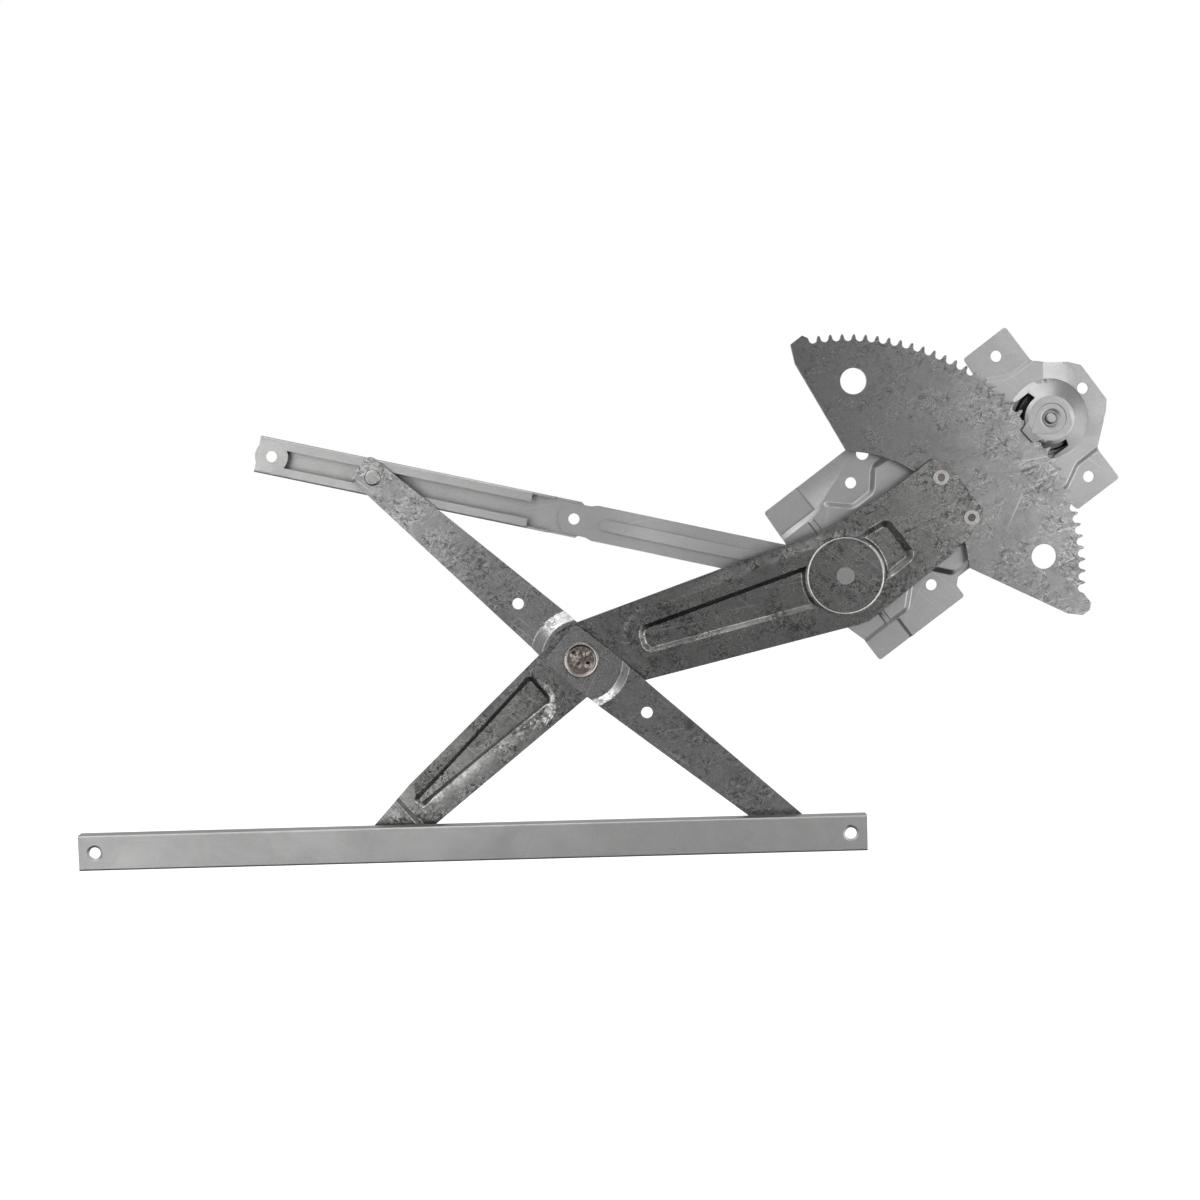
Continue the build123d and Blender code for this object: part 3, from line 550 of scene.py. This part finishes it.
def middle(node):
    """Centre of a round CAD node, seen along its axis."""
    spans = spread([vert.co for vert in frame["nodes"][node].data.vertices])
    return tuple(sum(span) / 2 for span in spans)


def faced(piece, material, depth):
    """Gives the faces at the front of a piece, down to a depth in mm, a second material."""
    piece.data.materials.append(bpy.data.materials[material])
    start = min(vert.co.y for vert in piece.data.vertices)
    for face in piece.data.polygons:
        if face.center.y < start + depth * MM:
            face.material_index = 1


def rolled_rim(piece, centre, radius, thickness):
    """Adds a round rim to a piece, half sunk in the front of its sheet, in a lighter zinc that is
    a painted highlight.
    """
    shape = bmesh.new()
    shape.from_mesh(piece.data)
    surface = BVHTree.FromBMesh(shape)
    x, z = centre
    outside, inward = Vector((x + radius, -1, z)), Vector((0, 1, 0))
    hit = surface.ray_cast(outside, inward)[0]
    start = Matrix.Translation((x + radius, hit.y, z))
    ring = bmesh.ops.create_circle(shape, segments=RIM_SIDES, radius=thickness / 2, matrix=start)
    edges = list({edge for vert in ring["verts"] for edge in vert.link_edges})
    bmesh.ops.spin(
        shape, geom=ring["verts"] + edges, cent=(x, hit.y, z), axis=(0, 1, 0),
        angle=radians(360), steps=RIM_STEPS, use_merge=True, use_duplicate=False,
    )
    rim = {face for edge in edges if edge.is_valid for face in edge.link_faces}
    shape.normal_update()
    grown = set()
    while rim - grown:
        grown |= rim
        rim |= {face for done in rim for edge in done.edges for face in edge.link_faces}
    bmesh.ops.recalc_face_normals(shape, faces=list(rim))
    for face in rim:
        face.smooth = True
        face.material_index = 1
    # the rim's lighter zinc is a painted highlight
    piece.data.materials.append(bpy.data.materials["Painted highlight zinc"])
    shape.to_mesh(piece.data)
    shape.free()


def clamped(value):
    return min(1.0, max(0.0, value))


def head_sink(offset, share):
    """How deep the worked front lies at an offset from its centre."""
    sunk = DISH_DEPTH * clamped((BORDER_SHARE - share) / WALL_SHARE)
    sunk *= BOSS_SINK + (1 - BOSS_SINK) * clamped((share - BOSS_SHARE) / BOSS_SLOPE)
    for x, z, width, depth in PITS:
        away = (offset - Vector((x * MM, 0, z * MM))).length
        sunk += depth * MM * exp(-(away / (width * MM)) ** 2)
    if share < WAVE_SHARE:
        across, up = offset.x / WAVE_WIDTH, offset.z / WAVE_WIDTH
        sunk += WAVE_DEPTH * (1 + sin(3 * across + up) * cos(4 * up - across))
    return sunk


def staked(piece):
    """Works the front of the hub rivet into a rim, a sunk ring and four punch pits, its rim in a
    painted highlight.
    """
    shape = bmesh.new()
    shape.from_mesh(piece.data)
    start = min(vert.co.y for vert in shape.verts)
    spans = spread([vert.co for vert in shape.verts if vert.co.y < start + FRONT_SLACK])
    centre = Vector((sum(spans[0]) / 2, start, sum(spans[1]) / 2))
    reach = (spans[0][1] - spans[0][0]) / 2 + FRONT_SLACK

    def in_front(vert):
        away = Vector((vert.co.x - centre.x, vert.co.z - centre.z)).length
        return vert.co.y < start + HEAD_DEPTH and away < reach

    front = {face for face in shape.faces if all(in_front(vert) for vert in face.verts)}
    sides = [side for face in front for side in face.edges]
    rim = [side for side in sides if sum(face in front for face in side.link_faces) == 1]
    corners = list({vert for side in rim for vert in side.verts})
    corners.sort(key=lambda vert: atan2(vert.co.z - centre.z, vert.co.x - centre.x))
    bmesh.ops.delete(shape, geom=list(front), context="FACES")
    rings = [corners]
    for step in range(1, HEAD_STEPS):
        share = 1 - step / HEAD_STEPS
        ring = []
        for corner in corners:
            offset = (corner.co - centre) * share
            sunk = Vector((0, head_sink(offset, share), 0))
            ring.append(shape.verts.new(centre + offset + sunk))
        rings.append(ring)
    for level, (outer, inner) in enumerate(zip(rings, rings[1:])):
        for index in range(len(outer)):
            after = (index + 1) % len(outer)
            face = shape.faces.new((outer[index], outer[after], inner[after], inner[index]))
            face.smooth = True
            # the outer rings get the painted highlight zinc
            face.material_index = int(level < PAINTED_HIGHLIGHT_STEPS)
    shape.faces.new(rings[-1])
    bmesh.ops.recalc_face_normals(shape, faces=shape.faces)
    piece.data.materials.append(bpy.data.materials["Painted highlight zinc"])
    shape.to_mesh(piece.data)
    shape.free()


class REGULATOR_OT_finishes(bpy.types.Operator):
    """Make the steel, plating, gear, bronze and nylon finishes"""

    bl_idname = "regulator.finishes"
    bl_label = "Make finishes"

    def execute(self, context):
        spangle_group()
        scratch_group()
        plating_group()
        tones = colours()
        zinc("Sector zinc", tones.sector, (0.3, 0, 0.1), needles=0.6, marks=0.6)
        zinc(
            "Arm zinc", tones.arm, (0.7, 0, 0.4), needles=0.9, blots=0.45, clouds=1.5, low=0.3,
            high=1.7,
        )
        zinc("Equalizer zinc", tones.equalizer, (0.1, 0, 0.8), needles=0.8, blots=0.4, clouds=1.3)
        plated("Plate satin", tones.plate, (0, 0, 0.2))
        plated("Rail satin", tones.rail, (0.5, 0, 0.2), stains=0.7)
        turned_metal("Pin steel", dimmed(tones.arm, 1.3))
        turned_metal("Rivet head", dimmed(tones.rivet, 1.25), roughness=0.30, marks=0.8)
        # A painted highlight: lighter zinc for the rims of the pivot disc and of the rivets.
        turned_metal("Painted highlight zinc", tones.worn, roughness=0.30)
        turned_metal("Rivet brown", tones.rivet, roughness=0.5)
        turned_metal("Gear dark", tones.gear, roughness=0.35)
        turned_metal("Bearing bronze", tones.bronze)
        turned_metal("Spring wire", dimmed(tones.gear, 2.0))
        moulded("Shoe nylon", tones.nylon)
        return {"FINISHED"}


class REGULATOR_OT_base(bpy.types.Operator):
    """Finish the base plate, its drum and its bushes"""

    bl_idname = "regulator.base"
    bl_label = "Base plate"

    def execute(self, context):
        edge = sizes().sheet_edge
        finish_node("base_plate", "Plate satin", edge, sizes().bend)
        finish_node("brake_drum", "Plate satin", edge)
        finish_node("pivot_bush", "Bearing bronze", sizes().pin_edge)
        finish_node("spindle_bush", "Bearing bronze", sizes().pin_edge)
        return {"FINISHED"}


class REGULATOR_OT_guide(bpy.types.Operator):
    """Finish the fixed guide and its extension arm"""

    bl_idname = "regulator.guide"
    bl_label = "Fixed guide"

    def execute(self, context):
        edge = sizes().sheet_edge
        finish_node("guide_arm", "Plate satin", edge, sizes().bend)
        finish_node("guide_channel", "Rail satin", edge)
        return {"FINISHED"}


class REGULATOR_OT_sector(bpy.types.Operator):
    """Finish the toothed sector and its rivets"""

    bl_idname = "regulator.sector"
    bl_label = "Toothed sector"

    def execute(self, context):
        finish_node("sector_gear", "Sector zinc", sizes().tooth_edge)
        # The fronts of the sector rivets, to 0.2 mm deep, take a painted highlight: lighter zinc
        # for the light on their domed rims.
        faced(finish_node("sector_rivets", "Rivet brown", sizes().pin_edge), "Painted highlight zinc", 0.2)
        return {"FINISHED"}


class REGULATOR_OT_lift_arm(bpy.types.Operator):
    """Finish the lift arm with its pivot and hub bush"""

    bl_idname = "regulator.lift_arm"
    bl_label = "Lift arm"

    def execute(self, context):
        arm = finish_node("lift_arm", "Arm zinc", 2 * sizes().sheet_edge, sizes().bend)
        rolled_rim(arm, middle("pivot_pin"), RIM_RADIUS, sizes().rim)
        for node in ("pivot_pin", "pivot_washer", "lift_stud"):
            finish_node(node, "Pin steel", sizes().pin_edge)
        finish_node("hub_bush", "Bearing bronze", sizes().pin_edge)
        return {"FINISHED"}


class REGULATOR_OT_equalizer(bpy.types.Operator):
    """Finish both halves of the equalizer arm and the studs that they carry"""

    bl_idname = "regulator.equalizer"
    bl_label = "Equalizer arm"

    def execute(self, context):
        for node in ("equalizer_rear", "equalizer_front"):
            finish_node(node, "Equalizer zinc", 3 * sizes().sheet_edge)
        staked(finish_node("hub_rivet", "Rivet head", sizes().pin_edge))
        for node in ("channel_stud", "guide_stud"):
            finish_node(node, "Pin steel", sizes().pin_edge)
        return {"FINISHED"}


class REGULATOR_OT_drive(bpy.types.Operator):
    """Finish the crank spindle, the pinion and the brake spring"""

    bl_idname = "regulator.drive"
    bl_label = "Crank drive"

    def execute(self, context):
        finish_node("crank_spindle", "Pin steel", sizes().pin_edge)
        faced(finish_node("pinion_gear", "Gear dark", sizes().tooth_edge), "Pin steel", 1.2)
        finish_node("brake_spring", "Spring wire", sizes().pin_edge)
        return {"FINISHED"}


class REGULATOR_OT_lift(bpy.types.Operator):
    """Finish the lift channel and the three sliding shoes"""

    bl_idname = "regulator.lift"
    bl_label = "Lift channel and shoes"

    def execute(self, context):
        finish_node("lift_channel", "Rail satin", sizes().sheet_edge)
        for node in ("lift_shoe", "channel_shoe", "guide_shoe"):
            finish_node(node, "Shoe nylon", sizes().sheet_edge)
        return {"FINISHED"}


def stage_card(name, centre, facing, width, height, material, hidden=True):
    """A flat card of the studio, turned to face a point."""
    shape = bmesh.new()
    bmesh.ops.create_grid(shape, x_segments=1, y_segments=1, size=0.5)
    bmesh.ops.scale(shape, vec=(width, height, 1), verts=shape.verts)
    turn = (Vector(facing) - Vector(centre)).to_track_quat("Z", "Y").to_matrix().to_4x4()
    bmesh.ops.transform(shape, matrix=Matrix.Translation(centre) @ turn, verts=shape.verts)
    mesh = bpy.data.meshes.new(name)
    shape.to_mesh(mesh)
    shape.free()
    mesh.materials.append(material)
    card = bpy.data.objects.new(name, mesh)
    bpy.context.scene.collection.objects.link(card)
    card.visible_camera = not hidden
    return card


def lamp(name, centre, power):
    """A square lamp, one metre wide, that faces the middle of the studio."""
    light = bpy.data.lights.new(name, "AREA")
    light.shape = "RECTANGLE"
    light.size = light.size_y = 1.0
    light.energy = power
    holder = bpy.data.objects.new(name, light)
    holder.location = centre
    ahead = Vector(STUDIO_MIDDLE) - Vector(centre)
    holder.rotation_euler = ahead.to_track_quat("-Z", "Y").to_euler()
    bpy.context.scene.collection.objects.link(holder)


def studio_world():
    """White to the eye and in gloss, softer as a light."""
    world = bpy.data.worlds.new("Studio")
    bpy.context.scene.world = world
    world.use_nodes = True
    graph = Graph(world.node_tree)
    ray = graph.add("ShaderNodeLightPath").outputs
    seen = graph.math("MAXIMUM", ray["Is Camera Ray"], ray["Is Glossy Ray"])
    seen = graph.math("MAXIMUM", seen, ray["Is Transmission Ray"])
    soft = world.node_tree.nodes["Background"]
    soft.inputs["Color"].default_value = (0.95, 0.97, 1.0, 1.0)
    soft.inputs["Strength"].default_value = 0.6
    white = graph.add("ShaderNodeBackground", Color=(1, 1, 1, 1), Strength=1.0)
    both = graph.add("ShaderNodeMixShader")
    graph.feed(both, "0", seen)
    graph.feed(both, "1", soft.outputs[0])
    graph.feed(both, "2", white.outputs[0])
    out = world.node_tree.nodes["World Output"]
    world.node_tree.links.new(both.outputs[0], out.inputs["Surface"])


def plain(name, tone, glow=0.0):
    """A matt grey that may glow white."""
    material = bpy.data.materials.new(name)
    material.use_nodes = True
    shader = material.node_tree.nodes["Principled BSDF"]
    shader.inputs["Base Color"].default_value = (tone, tone, tone, 1.0)
    shader.inputs["Roughness"].default_value = 0.9
    shader.inputs["Specular IOR Level"].default_value = 0.0
    shader.inputs["Emission Color"].default_value = (1, 1, 1, 1)
    shader.inputs["Emission Strength"].default_value = glow
    return material


def studio_camera():
    """Straight on from the door's outer side, tilted and rolled as the photograph is."""
    data = bpy.data.cameras.new("Photograph")
    data.sensor_fit = "HORIZONTAL"
    data.angle = radians(37.0)
    camera = bpy.data.objects.new("Photograph", data)
    place = Matrix.Translation((-0.2473, -1.0353, -0.0246))
    spin = Matrix.Rotation(radians(0.50), 3, "Z")
    tilt = Matrix.Rotation(radians(-3.99), 3, "X")
    roll = Matrix.Rotation(radians(1.618), 3, "Y")
    stand_up = Matrix.Rotation(radians(90), 3, "X")
    camera.matrix_world = place @ (spin @ tilt @ roll @ stand_up).to_4x4()
    bpy.context.scene.collection.objects.link(camera)
    bpy.context.scene.camera = camera


class REGULATOR_OT_stage(bpy.types.Operator):
    """Set the floor, the lamps, the cards, the sky and the camera"""

    bl_idname = "regulator.stage"
    bl_label = "Studio"

    def execute(self, context):
        drop = -sizes().floor_drop
        floor = plain("Floor white", 0.80, 0.56)
        stage_card("floor", (-0.2, 0, drop), (-0.2, 0, 10), 12, 12, floor, hidden=False)
        lamp("key", (-1.3, -1.0, 1.3), 22)
        lamp("fill", (1.2, -1.4, 0.6), 9)
        # what the flat sheets mirror: a dark card behind the camera, bright ones round it
        soft_grey = plain("Grey card", 0.03, 0.06)
        stage_card("grey_behind", (-0.09, -1.9, -0.12), (-0.09, 0, -0.12), 1.04, 1.85, soft_grey)
        bright = plain("Bright card", 0.8, 4.0)
        stage_card("left_panel", (-1.30, -1.92, 0.1), (-1.30, 0, 0.1), 1.4, 2.0, bright)
        stage_card("right_panel", (0.98, -1.92, 0.3), (0.98, 0, 0.3), 1.1, 1.3, bright)
        stage_card("top_panel", (-0.2, -0.55, 1.5), STUDIO_MIDDLE, 1.6, 1.1, bright)
        stage_card("right_wall", (0.90, -0.62, -0.12), (-0.2, 0, -0.1), 1.4, 0.9, bright)
        # over the floor, and seen in gloss only: it darkens the undersides of the bends
        shade = plain("Shade card", 0.03)
        low = drop + 0.02
        card = stage_card("shade_low", (-0.35, -0.35, low), (-0.35, -0.35, 10), 1.1, 1.2, shade)
        card.visible_diffuse = False
        card.visible_shadow = False
        studio_world()
        studio_camera()
        context.scene.view_settings.view_transform = "Standard"
        return {"FINISHED"}


class REGULATOR_PT_panel(bpy.types.Panel):
    bl_idname = "REGULATOR_PT_panel"
    bl_label = "Window regulator"
    bl_space_type = "VIEW_3D"
    bl_region_type = "UI"
    bl_category = "Regulator"

    def draw(self, context):
        for group in (sizes(), colours()):
            for name in group.__annotations__:
                self.layout.prop(group, name)
        for step in STEPS:
            self.layout.operator(step.bl_idname)


STEPS = (
    REGULATOR_OT_finishes, REGULATOR_OT_base, REGULATOR_OT_guide, REGULATOR_OT_sector,
    REGULATOR_OT_lift_arm, REGULATOR_OT_equalizer, REGULATOR_OT_drive, REGULATOR_OT_lift,
    REGULATOR_OT_stage,
)
CLASSES = (RegulatorSizes, RegulatorColours, *STEPS, REGULATOR_PT_panel)


def register():
    for cls in CLASSES:
        bpy.utils.register_class(cls)
    bpy.types.Scene.regulator_sizes = bpy.props.PointerProperty(type=RegulatorSizes)
    bpy.types.Scene.regulator_colours = bpy.props.PointerProperty(type=RegulatorColours)


def unregister():
    del bpy.types.Scene.regulator_sizes
    del bpy.types.Scene.regulator_colours
    for cls in reversed(CLASSES):
        bpy.utils.unregister_class(cls)


def main():
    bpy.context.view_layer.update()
    register()
    for step in STEPS:
        area, name = step.bl_idname.split(".")
        getattr(getattr(bpy.ops, area), name)()


if __name__ == "__main__":
    main()
